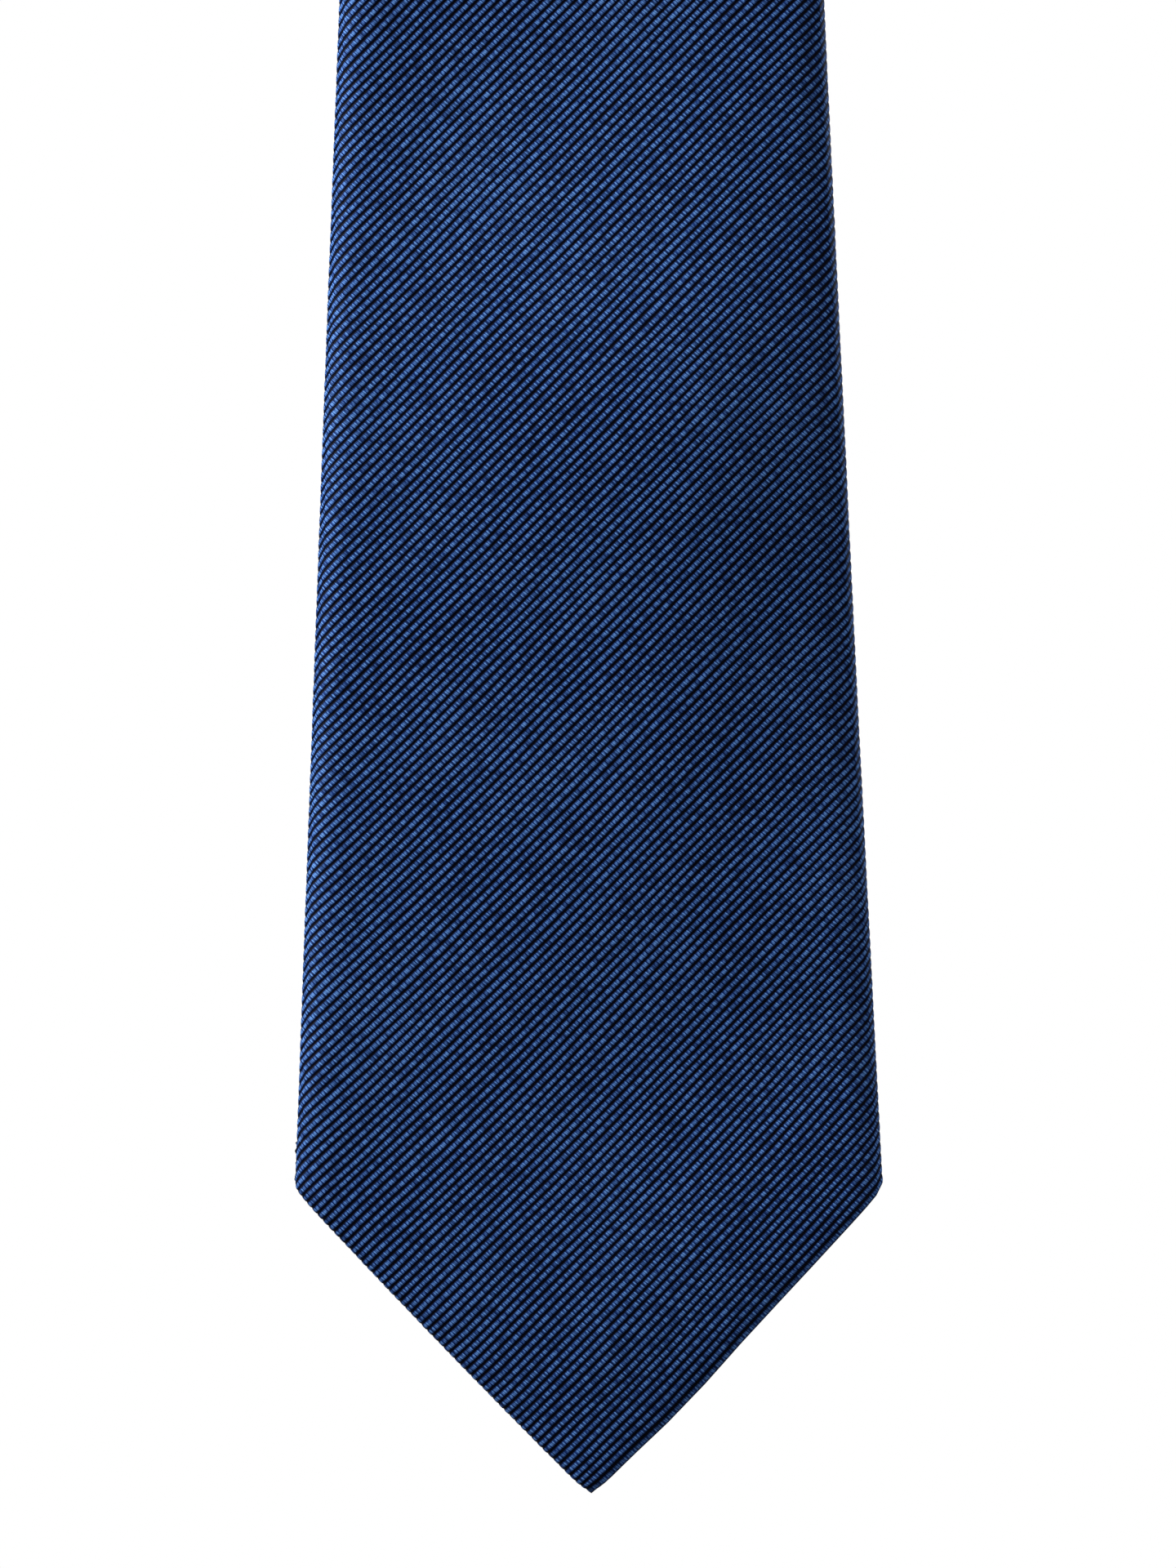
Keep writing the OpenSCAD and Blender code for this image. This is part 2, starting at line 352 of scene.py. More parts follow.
class FoldedSilk:
    """The tube of silk: flat cloth coordinates (u, l) carried to its folded place.

    The cloth's ribs run at 45 degrees. c = (l - u) / sqrt 2 counts across the ribs and
    a = (l + u) / sqrt 2 runs along them. The wide point's two edges are the lines c = 0 and
    a = 0, and past them lies the hem, turned over to the back.
    """

    FINE = (0.0, 0.13, 0.37, 0.63, 0.87)
    PLAIN = (0.0, 0.2, 0.5, 0.8)
    BESIDE = (0.0, 0.02, 0.08, 0.2, 0.4, 0.7, 1.1, 1.7, 2.6, 4.0, 6.0, 9.0, 13.0)

    def __init__(self, hang: Hang, cloth: Cloth) -> None:
        """Works out the rib pitch and the arc of the rolled edge.

        Args:
            hang: the tie's line and widths.
            cloth: sizes of the cloth and of its folds.
        """
        self.hang, self.cloth = hang, cloth
        self.end = hang.length * HALF_DIAGONAL
        self.pitch = self.end / cloth.ribs
        angles = np.linspace(-math.pi / 2, math.pi / 2, 721)
        across = cloth.roll_across * np.cos(angles)
        through = hang.half_thick * np.sin(angles)
        steps = np.hypot(np.diff(across), np.diff(through))
        self.arc_angles = angles
        self.arc_lengths = np.concatenate([[0.0], np.cumsum(steps)])
        self.arc = float(self.arc_lengths[-1])
        self.slow = SoftNoise(5)
        self.fine = SoftNoise(11)

    def flat_half(self, l: Array) -> Array:
        """Half the width of the flat middle, between the rolled edges."""
        return self.hang.half_width(l) - self.cloth.roll_across

    def section(self, u: Array, l: Array) -> tuple[Array, Array, Array]:
        """Cross-section of the tube: flat face, elliptic roll, flat back.

        Args:
            u: distance over the cloth from the middle of the face, negative to the left.
            l: height along the tie.

        Returns:
            x across the tie, side from -1 on the face to 1 on the back, and how far the
            point lies under the overlap of the back seam.
        """
        cloth = self.cloth
        flat, v = self.flat_half(l), np.abs(u)
        top_edge = 2 * flat + self.arc + cloth.overlap
        over = np.where(u < 0, np.maximum(v - top_edge, 0.0), 0.0)
        v_back = v - 2 * over
        angle = np.interp(v - flat, self.arc_lengths, self.arc_angles)
        rolled = flat + cloth.roll_across * np.cos(angle)
        x = np.where(v < flat, v, np.where(v < flat + self.arc, rolled, 2 * flat + self.arc - v_back))
        side = np.sin(angle)
        tuck = smooth((v - top_edge + cloth.overlap + 4.5 * MM) / (3.5 * MM))
        under = np.where(u < 0, quarter_round(over, 0.3 * MM), 1.15 * tuck) * cloth.tuck_depth
        return x * np.sign(u), side, np.where(u < 0, np.where(over > 0, under, 0.0), under)

    def surface(self, u: Array, l: Array) -> Array:
        """Place of the cloth point (u, l), without its ribs.

        Past a point's edge the cloth is reflected in that edge and lies on the back.

        Args:
            u: flat coordinate across the cloth.
            l: flat coordinate along the tie.

        Returns:
            The points in the row frame.
        """
        hang, cloth, end = self.hang, self.cloth, self.end
        c, a = (l - u) * HALF_DIAGONAL, (l + u) * HALF_DIAGONAL
        hem = np.maximum.reduce([-c, -a, c - end, a - end])
        c = np.where(c < 0, -c, np.where(c > end, 2 * end - c, c))
        a = np.where(a < 0, -a, np.where(a > end, 2 * end - a, a))
        u, l = (a - c) * HALF_DIAGONAL, (a + c) * HALF_DIAGONAL
        x, side, under = self.section(u, l)
        to_c, to_a = np.minimum(c, end - c), np.minimum(a, end - a)
        edge = np.minimum(to_c, to_a)
        point = quarter_round(to_c, cloth.point_roll) * quarter_round(to_a, cloth.point_roll)
        bulge = 1.0 - np.clip(np.abs(x) / hang.half_width(l), 0.0, 1.0) ** 2
        face = point * (1.0 - cloth.point_thin * (1.0 - smooth(edge / cloth.point_run)))
        lap = 1.0 - cloth.lap_thin * (1.0 - smooth(edge / cloth.lap_run))
        out = hang.half_thick * side
        n_face = out * face - cloth.crown * bulge * face * np.maximum(-side, 0.0)
        n_back = out * lap + cloth.back_crown * bulge * np.maximum(side, 0.0) * lap - under
        n_hem = cloth.hem_lift * point * np.abs(side)
        n_lap_hem = n_back - 0.5 * MM * quarter_round(hem, 0.5 * MM) * np.abs(side)
        n = np.where(side < 0, n_face, n_back)
        n = np.where(hem > 0, np.where(side < 0, n_hem, n_lap_hem), n)
        return hang.place(x, n, l)

    def seams(self, c: Array) -> Array:
        """Dip of the two bias seams that join the neck piece, with a low ridge beside each."""
        dip = np.zeros_like(c)
        for l in (self.hang.front_seam, self.hang.tail_seam):
            away = np.abs(c - round(l * HALF_DIAGONAL / self.pitch) * self.pitch)
            dip -= self.cloth.seam_depth * np.exp(-((away / (0.55 * MM)) ** 2))
            dip += self.cloth.seam_ridge * smooth(1.0 - np.abs(away - 3.5 * MM) / (3.5 * MM))
        return dip

    def relief(self, c: Array, a: Array) -> Array:
        """Height of the ribs: the root of a half sine over each pitch, uneven like real cord."""
        phase = np.abs(np.sin(math.pi * c / self.pitch))
        rib = np.floor(c / self.pitch + 0.5 / self.cloth.ribs)
        uneven = 1.0 + 0.22 * self.fine(rib * 0.73, a / (7 * MM))
        return self.cloth.rib_height * phase**0.6 * uneven + self.seams(c)

    def stray(self, c: Array, a: Array) -> Array:
        """How far a rib strays sideways, fading out at the points' edges."""
        edge = np.minimum(np.minimum(c, self.end - c), np.minimum(a, self.end - a))
        slow = self.slow(c / (5 * MM), a / (17 * MM))
        quick = self.fine(c / (2 * MM), a / (9 * MM))
        return self.cloth.wander * (slow + 0.6 * quick) * smooth(edge / (4 * MM))

    def patch(self, u: Array, l: Array) -> Patch:
        """Cloth points with their ribs, raised along the surface normal.

        Args:
            u: flat coordinates across the cloth, rows by columns.
            l: flat coordinates along the tie.

        Returns:
            The grid, whose texture coordinates are the flat ones.
        """
        c, a = (l - u) * HALF_DIAGONAL, (l + u) * HALF_DIAGONAL
        moved = self.stray(c, a) * HALF_DIAGONAL
        pu, pl, step = u - moved, l + moved, 0.03 * MM
        right = self.surface(pu + step, pl) - self.surface(pu - step, pl)
        up = self.surface(pu, pl + step) - self.surface(pu, pl - step)
        normal = np.cross(right, up)
        size = np.linalg.norm(normal, axis=-1, keepdims=True)
        normal = normal / np.maximum(size, 1e-15)
        points = self.surface(pu, pl) + normal * self.relief(c, a)[..., None]
        return Patch(points, np.stack([u, l], -1))

    def columns(self) -> tuple[Array, Array]:
        """Columns of the cloth grid as (share of the flat half width, added length)."""
        cloth, arc = self.cloth, self.arc
        roll = np.array([0.0, 0.11, 0.23, 0.36, 0.5, 0.64, 0.77, 0.89, 1.0])
        back = np.linspace(0.0, 1.0, 7)[1:]
        front = np.linspace(-1.0, 1.0, 15)[1:-1]
        turned = np.array([cloth.turn_in, 0.9 * MM, 0.25 * MM, 0.0]) + cloth.overlap
        share = [np.full(4, -2.0), -1.0 - back[::-1], np.full(9, -1.0), front]
        share += [np.full(9, 1.0), 1.0 + back, np.full(2, 2.0)]
        extra = [-arc - turned, np.full(6, -arc), -arc * roll[::-1], np.zeros(13)]
        extra += [arc * roll, np.full(6, arc), arc + np.array([0.45, 1.0]) * cloth.underlap]
        return np.concatenate(share), np.concatenate(extra)

    def spread(self, c: Array, share: Array, extra: Array, flip: bool) -> Array:
        """Solves u = share * flat_half(l) + extra with l = sqrt 2 c + u, by repeating it."""
        u = extra + share * self.hang.neck_half
        for _ in range(8):
            l = c / HALF_DIAGONAL + u
            u = share * self.flat_half(self.hang.length - l if flip else l) + extra
        return u

    def length_between(
        self, name: str, first: int, last: int, steps: Sequence[float], flip: bool = False
    ) -> bpy.types.Object:
        """A length of the tube from one rib to another, with the hem where it starts at a point.

        Args:
            name: the piece's name.
            first: rib that it starts at, counted from its own tip.
            last: rib that it stops at.
            steps: heights of the grid's rows within one rib, as shares of the pitch.
            flip: True for the length that starts at the tail's tip.

        Returns:
            The piece, with its thickness.
        """
        share, extra = self.columns()
        if flip:
            share, extra = -share[::-1], -extra[::-1]
        ribs = np.arange(first, last)[:, None] + np.array(steps)
        c = np.append(ribs.ravel(), last)[:, None] * self.pitch
        u = self.spread(c, share[None, :], extra[None, :], flip)
        if first == 0:
            beside = (np.array(self.BESIDE)[None, :] * MM - c) * HALF_DIAGONAL
            low = np.maximum(u[:, :1], -c * HALF_DIAGONAL)
            u = np.sort(np.clip(np.concatenate([u, beside], 1), low, u[:, -1:]), axis=1)
        grids = [(u, c)]
        if first == 0:
            grids += self.hems(c, u[0], flip)
        patches = []
        for grid_u, grid_c in grids:
            grid_l = grid_c / HALF_DIAGONAL + grid_u
            if flip:
                grid_u, grid_l = -grid_u, self.hang.length - grid_l
            patches.append(self.patch(grid_u, grid_l))
        piece = make_mesh(name, patches)
        thicken(piece, self.cloth.thickness)
        flats = [patch.uv for patch in patches]
        low = np.min([uv.reshape(-1, 2).min(0) for uv in flats], axis=0)
        high = np.max([uv.reshape(-1, 2).max(0) for uv in flats], axis=0)
        size = high - low
        area = min(sum(flat_area(uv) for uv in flats), float(size[0] * size[1]))
        return piece

    def hems(self, c: Array, first_row: Array, flip: bool) -> list[tuple[Array, Array]]:
        """Grids of the hem past the two edges of a point, mitred at the tip.

        Args:
            c: the tube's rows.
            first_row: u along the tube's lowest row, from the tip outwards.
            flip: True at the tail's tip.

        Returns:
            Grids as (u, c), past the edge c = 0 and past the edge a = 0.
        """
        hang, cloth = self.hang, self.cloth
        depth = cloth.hem * np.array([0.0, 0.02, 0.06, 0.12, 0.25, 0.55, 1.0])

        def trimmed(u: Array) -> Array:
            """Share of the hem's depth at u: whole in the middle, less under the panels."""
            side = self.flat_half(np.abs(u) if not flip else hang.length - np.abs(u))
            past = (np.abs(u) - side - self.arc / 2) / (4 * MM)
            return 1.0 - (1.0 - cloth.panel_hem_share) * smooth(past)

        along = first_row / HALF_DIAGONAL
        fine = np.linspace(1.0, 0.0, 1 + 4 * math.ceil(cloth.hem / self.pitch))
        down = cloth.hem * fine[:, None] * trimmed(first_row)[None, :]
        a = np.maximum(along[None, :], down)
        right = ((a + down) * HALF_DIAGONAL, -down)
        reach = c[:, 0] * HALF_DIAGONAL
        limit = self.spread(c, np.array([[-2.0]]), np.array([[-self.arc]]), flip)[:, 0]
        rows = c[:, 0][reach <= -limit + cloth.overlap]
        out = depth[None, ::-1] * trimmed(rows * HALF_DIAGONAL)[:, None]
        across = np.maximum(rows[:, None], out)
        left = ((-out - across) * HALF_DIAGONAL, across)
        return [right, left]


# ---------------------------------------------------------------- nodes of the materials


class Wire:
    """A value in a node tree that can be added, multiplied and passed on."""

    def __init__(self, tree: bpy.types.NodeTree, socket: bpy.types.NodeSocket) -> None:
        """Keeps the tree and the output socket."""
        self.tree, self.socket = tree, socket

    def math(self, operation: str, *others: "Wire | float") -> "Wire":
        """A Math node with this wire as its first input."""
        node = self.tree.nodes.new("ShaderNodeMath")
        node.operation = operation
        for slot, value in zip(node.inputs, (self, *others)):
            connect(self.tree, value, slot)
        return Wire(self.tree, node.outputs[0])

    def __add__(self, other: "Wire | float") -> "Wire":
        """Sum."""
        return self.math("ADD", other)

    def __sub__(self, other: "Wire | float") -> "Wire":
        """Difference."""
        return self.math("SUBTRACT", other)

    def __mul__(self, other: "Wire | float") -> "Wire":
        """Product."""
        return self.math("MULTIPLY", other)

    def __truediv__(self, other: "Wire | float") -> "Wire":
        """Quotient."""
        return self.math("DIVIDE", other)

    def wave(self) -> "Wire":
        """0 at whole numbers and 1 halfway between them: (1 - cos 2 pi x) / 2."""
        return (self * (2 * math.pi)).math("COSINE") * -0.5 + 0.5

    def between(self, low: float, high: float) -> "Wire":
        """Carries 0 to 1 on to low to high."""
        return self * (high - low) + low


def connect(tree: bpy.types.NodeTree, value: object, slot: bpy.types.NodeSocket) -> None:
    """Links a wire to a socket, or sets the socket to a plain value."""
    if isinstance(value, Wire):
        tree.links.new(value.socket, slot)
    else:
        slot.default_value = value


class Tree:
    """Short forms for building a node tree."""

    def __init__(self, tree: bpy.types.NodeTree) -> None:
        """Keeps the tree."""
        self.tree = tree

    def node(self, kind: str, settings: dict | None = None, **inputs: object) -> bpy.types.Node:
        """A new node.

        Args:
            kind: the node's type.
            settings: its own properties.
            inputs: its inputs by name, with _ for a space.

        Returns:
            The node.
        """
        node = self.tree.nodes.new(kind)
        for name, value in (settings or {}).items():
            setattr(node, name, value)
        for name, value in inputs.items():
            connect(self.tree, value, node.inputs[name.replace("_", " ")])
        return node

    def out(self, node: bpy.types.Node, name: str | int = 0) -> Wire:
        """An output of a node as a wire."""
        return Wire(self.tree, node.outputs[name])

    def noise(self, vector: Wire, scale: float, detail: float = 2.0) -> Wire:
        """Noise from about 0 to 1."""
        node = self.node("ShaderNodeTexNoise", Vector=vector, Scale=scale, Detail=detail)
        return self.out(node, 0)

    def mix(self, share: Wire | float, first: object, second: object, blend: str = "MIX") -> Wire:
        """Colour mix of two colours or wires."""
        node = self.node("ShaderNodeMix", {"data_type": "RGBA", "blend_type": blend})
        connect(self.tree, share, node.inputs[0])
        connect(self.tree, first, node.inputs[6])
        connect(self.tree, second, node.inputs[7])
        return Wire(self.tree, node.outputs[2])

    def vector(self, x: Wire | float, y: Wire | float, z: Wire | float = 0.0) -> Wire:
        """Three values as a vector."""
        return self.out(self.node("ShaderNodeCombineXYZ", X=x, Y=y, Z=z))


def new_material(name: str) -> tuple[bpy.types.Material, Tree, bpy.types.Node]:
    """A new material with its tree and its Principled BSDF."""
    material = bpy.data.materials.new(name)
    material.use_nodes = True
    return material, Tree(material.node_tree), material.node_tree.nodes["Principled BSDF"]


def set_plain(shader: bpy.types.Node, **values: object) -> None:
    """Sets sockets that are the same all over the surface, with _ for a space."""
    for name, value in values.items():
        shader.inputs[name.replace("_", " ")].default_value = value


class EffectGroup:
    """A shader node group with named sockets, built once."""

    def __init__(self, name: str, inputs: dict[str, float], outputs: Sequence[str]) -> None:
        """Makes the group.

        Args:
            name: the group's name.
            inputs: input names with their defaults.
            outputs: names of the values that it puts out.
        """
        self.group = bpy.data.node_groups.new(name, "ShaderNodeTree")
        self.tree = Tree(self.group)
        for key, value in inputs.items():
            item = self.group.interface.new_socket(key, in_out="INPUT", socket_type="NodeSocketFloat")
            item.default_value = value
        for key in outputs:
            self.group.interface.new_socket(key, in_out="OUTPUT", socket_type="NodeSocketFloat")
        self.source = self.group.nodes.new("NodeGroupInput")
        self.sink = self.group.nodes.new("NodeGroupOutput")

    def read(self, name: str) -> Wire:
        """An input as a wire."""
        return Wire(self.group, self.source.outputs[name])

    def write(self, name: str, wire: Wire) -> None:
        """Links a wire to an output."""
        self.group.links.new(wire.socket, self.sink.inputs[name])

    def use(self, tree: Tree, **inputs: object) -> bpy.types.Node:
        """Places the group in a material."""
        node = tree.tree.nodes.new("ShaderNodeGroup")
        node.node_tree = self.group
        for name, value in inputs.items():
            connect(tree.tree, value, node.inputs[name.replace("_", " ")])
        return node


def cloth_axes(tree: Tree) -> tuple[Wire, Wire]:
    """The flat cloth coordinates, in metres, from the piece's own UV map."""
    uv = tree.node("ShaderNodeUVMap", {"uv_map": UV_NAME})
    parts = tree.node("ShaderNodeSeparateXYZ", Vector=tree.out(uv))
    return tree.out(parts, "X"), tree.out(parts, "Y")


def bias_weave_group() -> EffectGroup:
    """Ribs at 45 degrees, crossed by fine threads that are staggered from rib to rib."""
    group = EffectGroup(
        "bias_weave",
        {"Rib Pitch": 1.0 * MM, "Thread Pitch": 0.26 * MM},
        ("Rib", "Thread", "Float", "Yarn", "Slub", "Tone"),
    )
    tree = group.tree
    u, l = cloth_axes(tree)
    across = (l - u) * HALF_DIAGONAL
    along = (l + u) * HALF_DIAGONAL
    count = across / group.read("Rib Pitch")
    rib = count.math("FLOOR")
    jitter = tree.noise(tree.vector(rib * 0.37, along * 240.0), 1.0, 2.0)
    threads = along / group.read("Thread Pitch") + jitter * 0.9
    fifth = threads * 0.2
    low = (fifth + count * 0.52).wave()
    middle = (fifth * 2.0 - count * 0.47).wave()
    high = (fifth * 3.0 + count * 0.05).wave()
    group.write("Rib", (count * math.pi).math("SINE").math("ABSOLUTE"))
    group.write("Thread", (threads + count * 0.57).wave())
    group.write("Float", low * 0.18 + middle * 0.27 + high * 0.55)
    cell = (threads + count * 0.57).math("FLOOR")
    yarn = tree.node("ShaderNodeTexWhiteNoise", {"noise_dimensions": "2D"}, Vector=tree.vector(cell, rib))
    group.write("Yarn", tree.out(yarn, "Value"))
    group.write("Slub", tree.noise(tree.vector(rib * 7.3, along * 1600.0), 1.0, 2.0))
    group.write("Tone", tree.noise(tree.vector(u, l), 38.0, 3.0))
    return group


def plain_weave_group() -> EffectGroup:
    """Over and under of a plain weave, with uneven yarn."""
    group = EffectGroup("plain_weave", {"Pitch": 0.3 * MM}, ("Over", "Uneven"))
    tree = group.tree
    u, l = cloth_axes(tree)
    warp = (u / group.read("Pitch")).wave()
    weft = (l / group.read("Pitch")).wave()
    over = (warp - weft).math("ABSOLUTE").math("MAXIMUM", warp * weft)
    group.write("Over", over)
    group.write("Uneven", tree.noise(tree.vector(u, l), 420.0, 3.0))
    return group


# ---------------------------------------------------------------- finishes


Colour = tuple[float, float, float, float]
Range = tuple[float, float]


@dataclass(frozen=True)
class SilkFinish:
    """Navy ribbed silk, with painted shade in the grooves between the ribs and a painted blue highlight on
    the crossing threads.
    """

    # Near-black painted shade for the grooves between the ribs.
    painted_groove_shade: Colour = (0.0001, 0.0004, 0.0050, 1.0)
    body: Colour = (0.0088, 0.0375, 0.2000, 1.0)
    # Pale blue painted highlight, mixed into the base colour on the thread crests.
    painted_glint: Colour = (0.0970, 0.2250, 0.4950, 1.0)
    cool: Colour = (0.84, 0.90, 1.0, 1.0)
    warm: Colour = (1.14, 1.08, 1.0, 1.0)
    thread_pitch: float = 0.265 * MM
    groove: float = 0.36
    flank: float = 0.58
    tightness: Range = (2.6, 0.1)
    grain_contrast: float = 2.4
    roughness: float = 0.55
    rough_spread: float = 0.10
    bump: float = 0.05 * MM

    def make(self, name: str, weave: EffectGroup, pitch: float) -> bpy.types.Material:
        """Builds the material.

        Args:
            name: the material's name.
            weave: the bias weave group.
            pitch: the ribs' pitch.

        Returns:
            The material.
        """
        material, tree, shader = new_material(name)
        node = weave.use(tree, Rib_Pitch=pitch, Thread_Pitch=self.thread_pitch)
        rib, thread = tree.out(node, "Rib"), tree.out(node, "Thread")
        slub, tone = tree.out(node, "Slub"), tree.out(node, "Tone")
        floats, yarn = tree.out(node, "Float"), tree.out(node, "Yarn")
        # lit is 0 in the grooves between the ribs and 1 on the crests; it mixes in the near-black painted
        # groove shade.
        lit = ((rib - self.groove) / self.flank).math("MAXIMUM", 0.0).math("MINIMUM", 1.0)
        lit = lit.math("POWER", tone.between(*self.tightness))
        grain = ((slub - 0.5) * self.grain_contrast + 0.5).math("MAXIMUM", 0.0)
        spark = yarn.between(0.25, 1.5) * grain.between(0.7, 1.2)
        # Where the painted highlight goes: thread crests on the lit rib tops, with random sparkle per yarn
        # and the weave's floats.
        highlight_share = thread.between(0.3, 1.0) * lit * lit * spark * floats.between(-0.4, 1.85)
        highlight_share = highlight_share.math("MINIMUM", 1.0).math("MAXIMUM", 0.0)
        # shade: painted shade in the gaps between the crossing threads, multiplied by random yarn tone and
        # the weave's floats.
        shade = thread.between(0.5, 1.1) * yarn.between(0.6, 1.4) * floats.between(0.5, 1.35)
        # The dye colour, darkened by painted shade towards the grooves and then multiplied by the painted
        # shade between threads.
        dye_with_painted_shade = tree.mix(lit, self.painted_groove_shade, self.body)
        dye_with_painted_shade = tree.mix(1.0, dye_with_painted_shade, tree.vector(shade, shade, shade), "MULTIPLY")
        colour = tree.mix(highlight_share, dye_with_painted_shade, self.painted_glint)
        hue = tree.mix(tone, self.cool, self.warm)
        colour = tree.mix(1.0, colour, hue, "MULTIPLY")
        connect(tree.tree, colour, shader.inputs["Base Color"])
        rough = slub.between(self.roughness - self.rough_spread, self.roughness + self.rough_spread)
        connect(tree.tree, rough, shader.inputs["Roughness"])
        height = thread * 0.55 + slub * 0.45
        bump = tree.node("ShaderNodeBump", Height=height, Distance=self.bump, Strength=0.9)
        connect(tree.tree, tree.out(bump), shader.inputs["Normal"])
        set_plain(shader, Specular_IOR_Level=0.04, Sheen_Weight=0.02, Sheen_Roughness=0.4,
                  Sheen_Tint=(0.35, 0.5, 1.0, 1.0))
        return material


@dataclass(frozen=True)
class PlainFinish:
    """Plain-woven or felted cloth of one dye with uneven yarn."""

    low: Colour
    high: Colour
    pitch: float
    roughness: float
    sheen: float = 0.0
    bump: float = 0.05 * MM
    specular: float = 0.15

    def make(self, name: str, weave: EffectGroup) -> bpy.types.Material:
        """Builds the material from the plain weave group."""
        material, tree, shader = new_material(name)
        node = weave.use(tree, Pitch=self.pitch)
        over, uneven = tree.out(node, "Over"), tree.out(node, "Uneven")
        share = (over * 0.6 + uneven * 0.55).math("MINIMUM", 1.0)
        connect(tree.tree, tree.mix(share, self.low, self.high), shader.inputs["Base Color"])
        rough = uneven.between(self.roughness - 0.12, self.roughness + 0.08)
        connect(tree.tree, rough, shader.inputs["Roughness"])
        bump = tree.node("ShaderNodeBump", Height=over + uneven, Distance=self.bump, Strength=0.8)
        connect(tree.tree, tree.out(bump), shader.inputs["Normal"])
        set_plain(shader, Sheen_Weight=self.sheen, Specular_IOR_Level=self.specular)
        return material


@dataclass(frozen=True)
class ThreadFinish:
    """Twisted sewing thread: a fine slanting twist along its length."""

    dark: Colour = (0.006, 0.014, 0.05, 1.0)
    light: Colour = (0.045, 0.095, 0.26, 1.0)
    twists: float = 1500.0

    def make(self, name: str) -> bpy.types.Material:
        """Builds the material; the thread's own UV map runs along it and round it."""
        material, tree, shader = new_material(name)
        u, l = cloth_axes(tree)
        twist = (u * self.twists + l * 2.0).wave()
        connect(tree.tree, tree.mix(twist, self.dark, self.light), shader.inputs["Base Color"])
        bump = tree.node("ShaderNodeBump", Height=twist, Distance=0.06 * MM, Strength=0.8)
        connect(tree.tree, tree.out(bump), shader.inputs["Normal"])
        set_plain(shader, Roughness=0.5, Specular_IOR_Level=0.2)
        return material


class Slot(Enum):
    """Material slots of the record."""

    SILK = "ribbed_silk"
    WOOL = "wool_interlining"
    LINING = "tipping_lining"
    THREAD = "sewing_thread"
    LABEL = "woven_label"
    CARE = "care_tape"


class Wardrobe:
    """All finishes, one material for each slot."""

    def __init__(self, pitch: float) -> None:
        """Builds the node groups and the materials.

        Args:
            pitch: the ribs' pitch.
        """
        bias, plain = bias_weave_group(), plain_weave_group()
        wool = PlainFinish(
            (0.40, 0.36, 0.28, 1), (0.74, 0.70, 0.60, 1), 0.9 * MM, 0.9, sheen=0.3, bump=0.2 * MM
        )
        lining = PlainFinish(
            (0.006, 0.015, 0.060, 1), (0.020, 0.048, 0.170, 1), 0.22 * MM, 0.38, sheen=0.05
        )
        label = PlainFinish((0.16, 0.18, 0.22, 1), (0.38, 0.41, 0.47, 1), 0.35 * MM, 0.45, sheen=0.1)
        care = PlainFinish((0.60, 0.60, 0.57, 1), (0.84, 0.83, 0.79, 1), 0.3 * MM, 0.5, sheen=0.05)
        self.materials = {
            Slot.SILK: SilkFinish().make("navy_ribbed_silk", bias, pitch),
            Slot.WOOL: wool.make("brushed_wool", plain),
            Slot.LINING: lining.make("navy_lining", plain),
            Slot.THREAD: ThreadFinish().make("navy_thread"),
            Slot.LABEL: label.make("woven_label", plain),
            Slot.CARE: care.make("white_tape", plain),
        }

    def dress(self, piece: bpy.types.Object, slot: Slot) -> None:
        """Gives a piece its material."""
        piece.data.materials.clear()
        piece.data.materials.append(self.materials[slot])


# ---------------------------------------------------------------- joining to the bodies


@dataclass(frozen=True)
class Crossing:
    """A hinge that cloth bends across: the two bodies and the stretch that bends."""

    before: str
    after: str
    l: float
    half: float

    def bend(self, piece: bpy.types.Object, hang: Hang) -> None:
        """Bakes the piece's place into its mesh; the ends of the stretch are worked out but not used."""
        start = hang.place(np.array(0.0), np.array(0.0), np.array(self.l - self.half))
        end = hang.place(np.array(0.0), np.array(0.0), np.array(self.l + self.half))
        start[1] = end[1] = (start[1] + end[1]) / 2
        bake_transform(piece)


class Bodies:
    """The tie's rigid bodies in order along it, with the hinge between each pair."""

    def __init__(self, hang: Hang) -> None:
        """Places the four crossings along the tie."""
        self.hang = hang
        self.point = Crossing("front_end", "front_blade", hang.front_bend, 16 * MM)
        self.front = Crossing("front_blade", "neck", hang.front_seam, 18 * MM)
        self.tail = Crossing("neck", "tail_blade", hang.tail_seam, 18 * MM)
        self.tail_point = Crossing("tail_blade", "tail_end", hang.tail_bend, 12 * MM)

    def join(self, piece: bpy.types.Object, to: Crossing | str) -> None:
        """Rides a piece on a body, or at a hinge bakes its place into its mesh."""
        if isinstance(to, Crossing):
            to.bend(piece, self.hang)
        else:
            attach(piece, to)
        log.info("%s: %d vertices", piece.name, len(piece.data.vertices))


@dataclass
class Bench:
    """Where pieces are finished: each is dressed, ridden on its body or baked in place at its hinge, and
    put in its node's place.
    """

    bodies: Bodies
    wardrobe: Wardrobe

    def finish(self, piece: bpy.types.Object, slot: Slot, to: Crossing | str, *nodes: str) -> None:
        """Gives a piece its material, rides it on its body or bakes it in place at a hinge, and lets it
        stand for CAD nodes.
        """
        self.wardrobe.dress(piece, slot)
        self.bodies.join(piece, to)
        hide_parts(*nodes)


# ---------------------------------------------------------------- the pieces


